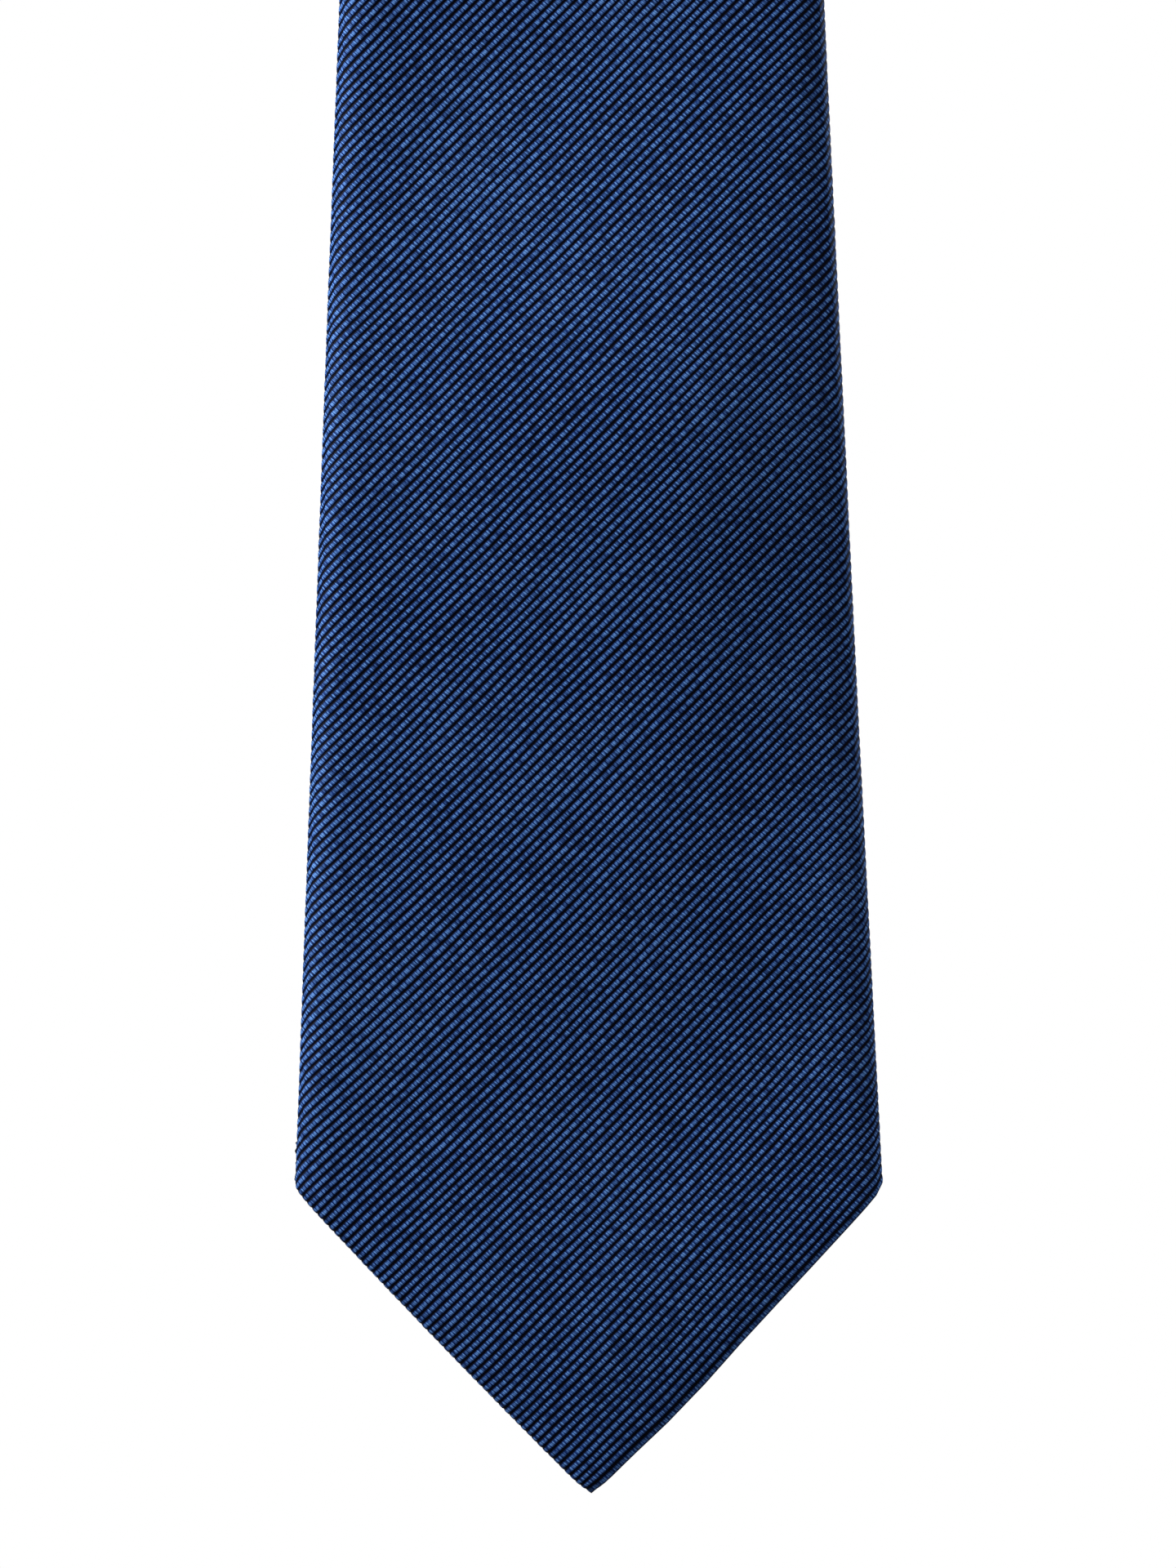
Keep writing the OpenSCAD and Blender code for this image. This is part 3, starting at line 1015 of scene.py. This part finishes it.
@dataclass
class Shell:
    """The silk of the whole tie, cut into lengths that each cross at most one hinge."""

    silk: FoldedSilk
    bench: Bench
    stops: tuple[float, ...] = field(default=(245 * MM, 440 * MM, 650 * MM, 900 * MM, 1100 * MM, 1330 * MM))

    def build(self) -> None:
        """Makes every length, rides it on its body or bakes it in place at its hinge, and lets it stand for
        its CAD shells.
        """
        marks = [0] + [round(l * HALF_DIAGONAL / self.silk.pitch) for l in self.stops]
        plain, fine = FoldedSilk.PLAIN, FoldedSilk.FINE
        bodies = self.bench.bodies
        lengths = (
            ("silk_front_point", fine, bodies.point, "front_end_shell"),
            ("silk_front_blade", plain, "front_blade", "front_blade_shell"),
            ("silk_front_join", plain, bodies.front, "front_blade_shell"),
            ("silk_neck", plain, "neck", "neck_shell"),
            ("silk_tail_join", plain, bodies.tail, "tail_blade_shell"),
            ("silk_tail_blade", plain, "tail_blade", "tail_blade_shell"),
        )
        for (name, steps, to, node), first, last in zip(lengths, marks[:-1], marks[1:]):
            piece = self.silk.length_between(name, first, last, steps)
            self.bench.finish(piece, Slot.SILK, to, node)
        top = self.silk.cloth.ribs - marks[-1]
        tail = self.silk.length_between("silk_tail_point", 0, top, plain, flip=True)
        self.bench.finish(tail, Slot.SILK, bodies.tail_point, "tail_end_shell")


@dataclass
class Core:
    """The wool interlining: one flat strip, pointed at both ends, split with the silk."""

    hang: Hang
    bench: Bench
    thickness: float = 1.9 * MM
    side_gap: float = 3.0 * MM
    point_gap: float = 4.5 * MM
    stops: tuple[float, ...] = field(default=(245 * MM, 650 * MM, 900 * MM, 1330 * MM))

    def half(self, l: Array) -> Array:
        """Half the strip's width: the tie's less a gap, cut to 90 degrees at each tip."""
        tips = np.minimum(l, self.hang.length - l) - self.point_gap
        return np.maximum(np.minimum(self.hang.half_width(l) - self.side_gap, tips), 0.0)

    def build(self) -> None:
        """Makes the five lengths of the strip."""
        start = self.point_gap
        end = self.hang.length - start
        marks = (start, *self.stops, end)
        bodies = self.bench.bodies
        rows = (
            ("core_front_point", bodies.point, "front_end_interlining"),
            ("core_front_blade", bodies.front, "front_interlining"),
            ("core_neck", "neck", "neck_interlining"),
            ("core_tail_blade", bodies.tail, "tail_interlining"),
            ("core_tail_point", bodies.tail_point, "tail_end_interlining"),
        )
        for (name, to, node), low, high in zip(rows, marks[:-1], marks[1:]):
            count = max(8, round((high - low) / (2.5 * MM)))
            l = np.linspace(low, high, count)[:, None]
            x = np.linspace(-1.0, 1.0, 21)[None, :] * self.half(l)
            l = np.broadcast_to(l, x.shape)
            n = np.full_like(x, -0.1 * MM)
            piece = make_mesh(name, [Patch(self.hang.place(x, n, l), np.stack([x, l], -1))])
            thicken(piece, self.thickness, 0.0)
            area = flat_area(np.stack([x, l], -1))
            high - low
            self.bench.finish(piece, Slot.WOOL, to, node)


class Threads:
    """Short lengths of sewing thread, each a thin tube that dips into the cloth at its ends."""

    SIDES = 8
    RINGS = 7

    @classmethod
    def patches(cls, start: Array, end: Array, rise: Array, radius: float) -> list[Patch]:
        """Tubes from start to end, bowed outwards along rise by a half sine.

        Args:
            start: first ends, one row for each stitch.
            end: last ends.
            rise: outward vector of the bow at the middle of each stitch.
            radius: radius of the thread.

        Returns:
            One closed tube for each stitch, tapered to a point at both ends.
        """
        t = np.linspace(0.0, 1.0, cls.RINGS)[None, :, None]
        middle = start[:, None] * (1 - t) + end[:, None] * t
        line = middle + rise[:, None] * np.sin(math.pi * t)
        ahead = end - start
        ahead = ahead / np.linalg.norm(ahead, axis=1, keepdims=True)
        up = rise / np.linalg.norm(rise, axis=1, keepdims=True)
        side = np.cross(ahead, up)
        turn = np.linspace(0.0, 2 * math.pi, cls.SIDES + 1)
        turn[-1] = 0.0
        size = radius * np.sqrt(np.maximum(1.0 - (2 * t[..., 0] - 1.0) ** 6, 0.0))
        ring = (
            np.cos(turn)[None, None, :, None] * up[:, None, None]
            + np.sin(turn)[None, None, :, None] * side[:, None, None]
        )
        points = line[:, :, None] + ring * size[..., None, None]
        length = np.linalg.norm(end - start, axis=1)
        u = (t[..., 0] * length[:, None])[..., None] + np.zeros(cls.SIDES + 1)
        v = np.zeros_like(u) + np.linspace(0.0, 1.0, cls.SIDES + 1)
        uv = np.stack([u, v], -1)
        return [Patch(p, w) for p, w in zip(points, uv)]


@dataclass
class Stitching:
    """Every row of stitches, laid on the folded tie."""

    hang: Hang
    silk: FoldedSilk
    bench: Bench
    radius: float = 0.2 * MM

    def row(self, name: str, ends: Sequence[Array], to: Crossing | str, node: str,
            flip: bool = False, bow: float = 0.3 * MM) -> None:
        """One row of stitches.

        Args:
            name: the piece's name.
            ends: x, n and l of the first ends, then x, n and l of the last ends.
            to: the body that it rides on, or the hinge where it is baked in place.
            node: the CAD node that it stands for.
            flip: True to count l from the tail's tip.
            bow: how far each stitch stands out at its middle.
        """
        x0, n0, l0, x1, n1, l1 = np.broadcast_arrays(*[np.asarray(v, float) for v in ends])
        if flip:
            x0, x1, l0, l1 = -x0, -x1, self.hang.length - l0, self.hang.length - l1
        start, end = self.hang.place(x0, n0, l0), self.hang.place(x1, n1, l1)
        out = self.hang.place((x0 + x1) / 2, (n0 + n1) / 2 + bow, (l0 + l1) / 2)
        rise = out - self.hang.place((x0 + x1) / 2, (n0 + n1) / 2, (l0 + l1) / 2)
        piece = make_mesh(name, Threads.patches(start, end, rise, self.radius))
        self.bench.finish(piece, Slot.THREAD, to, node)

    def back(self, l: Array) -> float:
        """Height of the back's outer surface at the middle of the tie."""
        return self.hang.half_thick + self.silk.cloth.back_crown + self.silk.cloth.rib_height

    def slip(self, name: str, low: float, high: float, to: Crossing, node: str,
             flip: bool = False) -> None:
        """Slip stitches that catch the overlap of the back seam, one every 12 mm."""
        l = np.arange(low, high, 12 * MM)
        edge = -self.silk.cloth.overlap if flip else self.silk.cloth.overlap
        n = self.back(l) - 0.25 * MM
        slant = 1.1 * MM
        self.row(name, (edge - 1.2 * MM, n, l, edge + 1.2 * MM, n - 0.4 * MM, l + slant), to, node, flip)

    def tack(self, name: str, l: float, to: str, node: str, flip: bool = False) -> None:
        """A bar tack: close upright wraps over a few long strands across the back seam."""
        wraps = np.linspace(-4.5 * MM, 4.5 * MM, 27)
        n = self.back(np.array(l)) - 0.1 * MM
        lean = 0.25 * MM
        self.row(name, (wraps - lean, n, l - 1.0 * MM, wraps + lean, n, l + 1.0 * MM),
                 to, node, flip, bow=0.55 * MM)

    def hem(self, name: str, reach: float, to: str, node: str, flip: bool = False) -> None:
        """Small stitches along the hem's inner edge, which hold the tipping."""
        side = np.arange(4.0 * MM, reach, 3.2 * MM)
        x = np.concatenate([side, -side])
        low = self.silk.cloth.hem / HALF_DIAGONAL
        l = np.abs(x) + low
        n = self.silk.cloth.hem_lift + self.silk.cloth.rib_height - 0.1 * MM
        inwards = 0.7 * MM
        self.row(name, (x + np.sign(x) * inwards, n, l - inwards, x - np.sign(x) * inwards,
                        n - 0.25 * MM, l + inwards), to, node, flip)

    def joins(self, name: str, l: float, to: Crossing, node: str, flip: bool = False) -> None:
        """Machine stitches of a neck seam, inside the fold behind the face."""
        reach = self.hang.neck_half - 5.0 * MM
        x = np.arange(-reach, reach, 2.4 * MM)
        n = 1.35 * MM - self.hang.half_thick
        slant = x if not flip else -x
        self.row(name, (x, n, l + slant, x + 1.7 * MM, n, l + slant + 1.7 * MM), to, node, flip,
                 bow=0.12 * MM)

    def build(self) -> None:
        """Makes every row on both ends."""
        hang, bodies = self.hang, self.bench.bodies
        blade, tail = 2 * hang.blade_half, 2 * hang.tail_half
        keeper = Keeper.middle
        self.slip("slip_stitches_low", hang.front_bend + 5 * MM, keeper - 9 * MM, bodies.point,
                  "front_slip_stitches")
        self.slip("slip_stitches_high", Label.low + Label.height + 5 * MM, hang.front_seam - 24 * MM,
                  bodies.front, "front_slip_stitches")
        self.slip("tail_slip_low", hang.length - hang.tail_bend + 5 * MM, CareTag.low - 4 * MM,
                  bodies.tail_point, "tail_slip_stitches", flip=True)
        self.slip("tail_slip_high", CareTag.low + CareTag.height + 5 * MM,
                  hang.length - hang.tail_seam - 24 * MM, bodies.tail, "tail_slip_stitches", flip=True)
        self.tack("bar_tack", blade + 7 * MM, "front_end", "front_bar_tack")
        self.tack("tail_bar_tack_wraps", tail + 7 * MM, "tail_end", "tail_bar_tack", flip=True)
        self.hem("hem_stitches", hang.blade_half - 9 * MM, "front_end", "front_hem_stitches")
        self.hem("tail_hem_prick_stitches", hang.tail_half - 8 * MM, "tail_end", "tail_hem_stitches",
                 flip=True)
        self.joins("front_join_thread", hang.front_seam, bodies.front, "front_seam_thread")
        self.joins("tail_join_thread", hang.length - hang.tail_seam, bodies.tail, "tail_seam_thread",
                   flip=True)


@dataclass
class Tipping:
    """The lining of a point's back, seen through the diamond between hem and panels."""

    hang: Hang
    bench: Bench
    thickness: float = 0.25 * MM
    tuck: float = 4.0 * MM

    def build(self, name: str, half: float, body: str, node: str, flip: bool) -> None:
        """Makes one lining: a square set on its corner, cut off under the rolled edges.

        Args:
            name: the piece's name.
            half: half the tie's width at the shoulders of the point.
            body: the body that it rides on.
            node: the CAD node that it stands for.
            flip: True at the tail's tip.
        """
        side = 2 * half * HALF_DIAGONAL + self.tuck
        line = np.linspace(self.tuck, side, 41)
        a, c = line[None, :], line[:, None]
        x, l = (a - c) * HALF_DIAGONAL, (a + c) * HALF_DIAGONAL
        x = np.clip(x, 3.5 * MM - half, half - 3.5 * MM)
        puff = SoftNoise(23)(x / (9 * MM), l / (13 * MM))
        n = 1.02 * MM + 0.12 * MM * puff
        if flip:
            x, l = -x, self.hang.length - l
        x, n, l = x[:, ::-1], n[:, ::-1], l[:, ::-1]
        uv = np.stack([x, l], -1)
        piece = make_mesh(name, [Patch(self.hang.place(x, n, l), uv)])
        thicken(piece, self.thickness)
        flat_area(uv)
        self.bench.finish(piece, Slot.LINING, body, node)


@dataclass
class Keeper:
    """The strap across the back that the tail is pushed through, a flat tube of the same silk."""

    hang: Hang
    silk: FoldedSilk
    bench: Bench
    middle: ClassVar[float] = 211 * MM
    height: float = 12 * MM
    half_thick: float = 0.5 * MM
    tab: float = 27.5 * MM
    inner: float = 22.5 * MM
    rise: float = 5.9 * MM
    stand_off: float = 0.75 * MM

    def build(self) -> None:
        """Sweeps a flat oval along a low arch, with its two ends flat on the back."""
        steps = np.linspace(-1.0, 1.0, 161)
        x = steps * self.tab
        base = self.hang.half_thick + self.stand_off
        shape = smooth((self.tab - 1.5 * MM - np.abs(x)) / (self.tab - self.inner + 2.5 * MM))
        crown = 0.5 * MM * (1.0 - steps**2)
        n = base + self.rise * shape + crown * shape
        slope = np.gradient(n, x)
        length = np.concatenate([[0.0], np.cumsum(np.hypot(np.diff(x), np.diff(n)))])
        turn = np.linspace(0.0, 2 * math.pi, 49)
        turn[-1] = 0.0
        squared = np.sign(np.cos(turn)) * np.abs(np.cos(turn)) ** 0.35
        up = squared * self.height / 2
        out = np.sin(turn) * self.half_thick
        tilt = 1.0 / np.sqrt(1.0 + slope**2)
        grid_x = x[:, None] - out[None, :] * (slope * tilt)[:, None]
        grid_n = n[:, None] + out[None, :] * tilt[:, None]
        grid_l = self.middle + np.broadcast_to(up[None, :], grid_x.shape)
        round_it = np.concatenate([[0.0], np.cumsum(np.hypot(np.diff(up), np.diff(out)))])
        u = np.broadcast_to(length[:, None], grid_x.shape)
        v = np.broadcast_to(round_it[None, :], grid_x.shape)
        c = (v - u) * HALF_DIAGONAL
        ribs = 0.6 * self.silk.relief(c, (v + u) * HALF_DIAGONAL)
        grid_n = grid_n + np.sin(turn)[None, :] * ribs
        points = self.hang.place(grid_x, grid_n, grid_l)
        tube = Patch(points, np.stack([u, v], -1))
        caps = [self.cap(points[0], tube.uv[0], False), self.cap(points[-1], tube.uv[-1], True)]
        piece = make_mesh("keeper_strap", [tube, *caps])
        self.bench.finish(piece, Slot.SILK, "front_blade", "keeper_loop")

    @staticmethod
    def cap(ring: Array, uv: Array, last: bool) -> Patch:
        """Closes one end of the tube with a fan to the ring's middle."""
        middle = np.broadcast_to(ring.mean(0), ring.shape)
        pair = (ring, middle) if last else (middle, ring)
        return Patch(np.stack(pair), np.stack([uv, uv]))

    def stitches(self, stitching: Stitching) -> None:
        """Two close rows of stitches through the strap's ends."""
        heights = self.middle + np.linspace(-4.6, 4.6, 8) * MM
        x = np.repeat([-1.0, 1.0], len(heights)) * (self.tab - 1.3 * MM)
        l = np.tile(heights, 2)
        n = self.hang.half_thick + self.stand_off + self.half_thick
        stitching.row("keeper_prick_stitches", (x, n, l - 0.5 * MM, x, n, l + 0.5 * MM),
                      "front_blade", "keeper_stitches", bow=0.35 * MM)


@dataclass
class Label:
    """The plain woven label, sewn to the back at its two ends."""

    hang: Hang
    bench: Bench
    low: ClassVar[float] = 234 * MM
    width: float = 44 * MM
    height: ClassVar[float] = 22 * MM
    thickness: float = 0.3 * MM
    stand_off: float = 0.62 * MM

    def build(self) -> None:
        """Lays the label a little proud of the back, bowed between its sewn ends."""
        x = np.linspace(-0.5, 0.5, 45)[None, :] * self.width
        l = self.low + np.linspace(0.0, 1.0, 25)[:, None] * self.height
        x, l = np.broadcast_arrays(x, l)
        bow = 0.35 * MM * np.cos(math.pi * x / self.width)
        wave = 0.08 * MM * SoftNoise(31)(x / (8 * MM), l / (8 * MM))
        n = self.hang.half_thick + self.stand_off + bow + wave
        uv = np.stack([x, l], -1)[:, ::-1]
        points = self.hang.place(x, n, l)[:, ::-1]
        piece = make_mesh("plain_label", [Patch(points, uv)])
        thicken(piece, self.thickness)
        self.bench.finish(piece, Slot.LABEL, "front_blade", "blank_label")

    def stitches(self, stitching: Stitching) -> None:
        """A row of small stitches up each end of the label."""
        heights = self.low + np.linspace(0.07, 0.93, 10) * self.height
        x = np.repeat([-1.0, 1.0], len(heights)) * (self.width / 2 - 1.2 * MM)
        l = np.tile(heights, 2)
        n = self.hang.half_thick + self.stand_off
        stitching.row("label_prick_stitches", (x, n, l - 0.6 * MM, x, n, l + 0.6 * MM),
                      "front_blade", "label_stitches", bow=0.3 * MM)


@dataclass
class CareTag:
    """The small blank tag on the tail's back."""

    hang: Hang
    bench: Bench
    low: ClassVar[float] = 160 * MM
    width: float = 14 * MM
    height: ClassVar[float] = 20 * MM
    thickness: float = 0.25 * MM

    def build(self) -> None:
        """A strip of tape that curls slightly away from the seam at its free end."""
        x = np.linspace(-0.5, 0.5, 17)[None, :] * self.width
        up = np.linspace(0.0, 1.0, 25)[:, None]
        x, up = np.broadcast_arrays(x, up)
        n = self.hang.half_thick + 0.65 * MM + 0.9 * MM * (1.0 - up) ** 2
        l = self.hang.length - self.low - up * self.height
        uv = np.stack([x, l], -1)
        piece = make_mesh("care_tag", [Patch(self.hang.place(x, n, l), uv)])
        thicken(piece, self.thickness)
        self.bench.finish(piece, Slot.CARE, "tail_blade", "care_label")


# ---------------------------------------------------------------- the studio


@dataclass
class Studio:
    """Camera, lights, floor and world."""

    hang: Hang
    distance: float = 1.6
    frame_height: float = 0.21333
    below_centre: float = 97.1 * MM
    beside: float = -0.5 * MM
    floor_drop: float = 1.30
    floor_radius: float = 5.0
    floor_glow: float = 0.85

    def camera(self) -> None:
        """A long lens, level with the lower end of the wide blade."""
        data = bpy.data.cameras.new("camera")
        data.sensor_width = 36.0
        data.lens = data.sensor_width * self.distance / self.frame_height
        camera = bpy.data.objects.new("camera", data)
        bpy.context.scene.collection.objects.link(camera)
        face = -self.hang.radius - self.hang.half_thick
        height = self.below_centre - self.hang.drop
        camera.location = (self.beside, face - self.distance, height)
        camera.rotation_euler = (math.pi / 2, 0.0, 0.0)
        bpy.context.scene.camera = camera

    def lamp(self, name: str, place: Sequence[float], size: float, power: float) -> None:
        """An area light that looks at the middle of the camera's view."""
        data = bpy.data.lights.new(name, "AREA")
        data.shape = "DISK"
        data.size = size
        data.energy = power
        lamp = bpy.data.objects.new(name, data)
        bpy.context.scene.collection.objects.link(lamp)
        target = Vector((0.0, 0.0, self.below_centre - self.hang.drop))
        lamp.location = target + Vector(place)
        lamp.visible_camera = False
        lamp.rotation_mode = "QUATERNION"
        lamp.rotation_quaternion = (target - lamp.location).to_track_quat("-Z", "Y")

    def floor(self) -> None:
        """A plain pale disc well below the tie: a grid of angle and radius at one height.

        Only the camera sees it, so it throws no light back on the cloth.
        """
        turns = np.linspace(0.0, 2.0 * math.pi, 65)
        turn, r = np.meshgrid(turns, np.array([self.floor_radius, 0.0]))
        points = np.stack([r * np.cos(turn), r * np.sin(turn), np.full_like(r, -self.floor_drop)], -1)
        floor = make_mesh("floor", [Patch(points, np.stack([turn, r], -1))])
        paint, _, shader = new_material("pale floor")
        set_plain(shader, Base_Color=(0.80, 0.80, 0.80, 1.0), Roughness=0.9, Specular_IOR_Level=0.0,
                  Emission_Color=(1.0, 1.0, 1.0, 1.0), Emission_Strength=self.floor_glow)
        floor.data.materials.append(paint)
        floor.visible_diffuse = False
        floor.visible_glossy = False
        floor.visible_shadow = False

    def world(self) -> None:
        """White to the camera and a softer white as light."""
        world = bpy.data.worlds.new("studio")
        world.use_nodes = True
        bpy.context.scene.world = world
        nodes, links = world.node_tree.nodes, world.node_tree.links
        nodes.clear()
        seen, light = nodes.new("ShaderNodeBackground"), nodes.new("ShaderNodeBackground")
        seen.inputs["Color"].default_value = (1, 1, 1, 1)
        seen.inputs["Strength"].default_value = 1.0
        light.inputs["Color"].default_value = (0.93, 0.96, 1.0, 1)
        light.inputs["Strength"].default_value = 0.15
        path, mix = nodes.new("ShaderNodeLightPath"), nodes.new("ShaderNodeMixShader")
        out = nodes.new("ShaderNodeOutputWorld")
        links.new(path.outputs["Is Camera Ray"], mix.inputs[0])
        links.new(light.outputs[0], mix.inputs[1])
        links.new(seen.outputs[0], mix.inputs[2])
        links.new(mix.outputs[0], out.inputs["Surface"])

    def build(self) -> None:
        """Sets up everything that isn't the tie."""
        bpy.context.scene.view_settings.view_transform = "Standard"
        self.camera()
        self.lamp("key", (-0.80, -0.26, 0.50), 0.30, 22.0)
        self.lamp("fill", (1.4, -1.1, 0.2), 1.2, 11.5)
        self.lamp("top", (0.3, -0.5, 2.6), 1.4, 30.0)
        self.lamp("back", (0.9, 1.5, 1.0), 1.0, 24.0)
        self.floor()
        self.world()


def main() -> None:
    """Builds the tie in order, from the silk to the stitches."""
    logging.basicConfig(level=logging.INFO, format="%(name)s %(message)s")
    hang = Hang()
    silk = FoldedSilk(hang, Cloth())
    bench = Bench(Bodies(hang), Wardrobe(silk.pitch))
    log.info("length %.4f m, rib pitch %.3f mm", hang.length, silk.pitch / MM)
    Studio(hang).build()
    Shell(silk, bench).build()
    Core(hang, bench).build()
    tipping = Tipping(hang, bench)
    tipping.build("front_tipping_cloth", hang.blade_half, "front_end", "front_tipping", False)
    tipping.build("tail_tipping_cloth", hang.tail_half, "tail_end", "tail_tipping", True)
    stitching = Stitching(hang, silk, bench)
    stitching.build()
    keeper = Keeper(hang, silk, bench)
    keeper.build()
    keeper.stitches(stitching)
    label = Label(hang, bench)
    label.build()
    label.stitches(stitching)
    CareTag(hang, bench).build()


if __name__ == "__main__":
    main()
